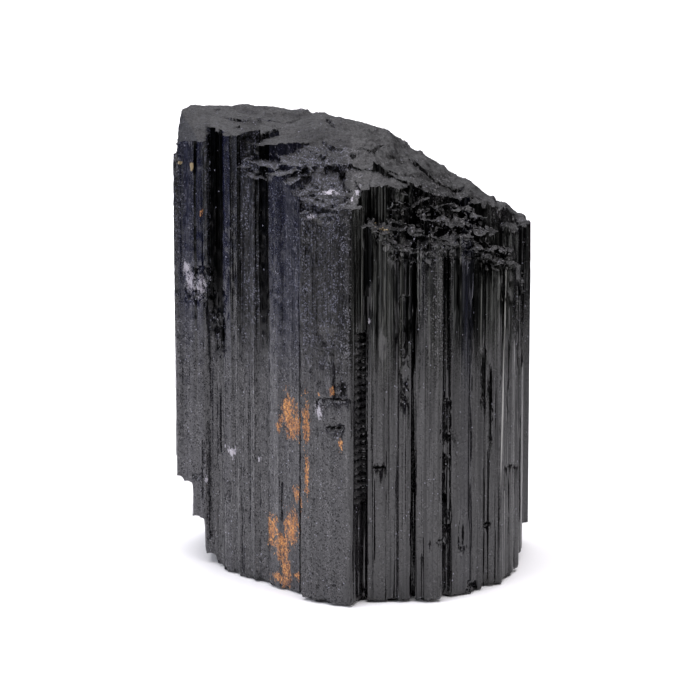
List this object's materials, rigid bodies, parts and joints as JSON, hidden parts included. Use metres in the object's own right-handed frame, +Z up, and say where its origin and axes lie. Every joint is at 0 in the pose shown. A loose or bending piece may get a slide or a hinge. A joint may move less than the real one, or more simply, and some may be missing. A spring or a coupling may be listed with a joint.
{
  "type": "tourmaline crystal",
  "caption": "Black tourmaline crystal specimen with long vertical ridges and a broken, sloping top, which stands on its flat foot for display.",
  "frame": {"origin": "middle of the bottom of the crystal's box, on the surface that it stands on", "axes": "+Z up along the crystal's prisms, +X to the right and -Y towards a viewer who faces its projecting front edge"},
  "size_m": [0.0717, 0.0512, 0.0924],
  "materials": {
    "black_tourmaline": "glossy"
  },
  "bodies": {
    "root": {"crystal": "black_tourmaline"}
  },
  "joints": []
}
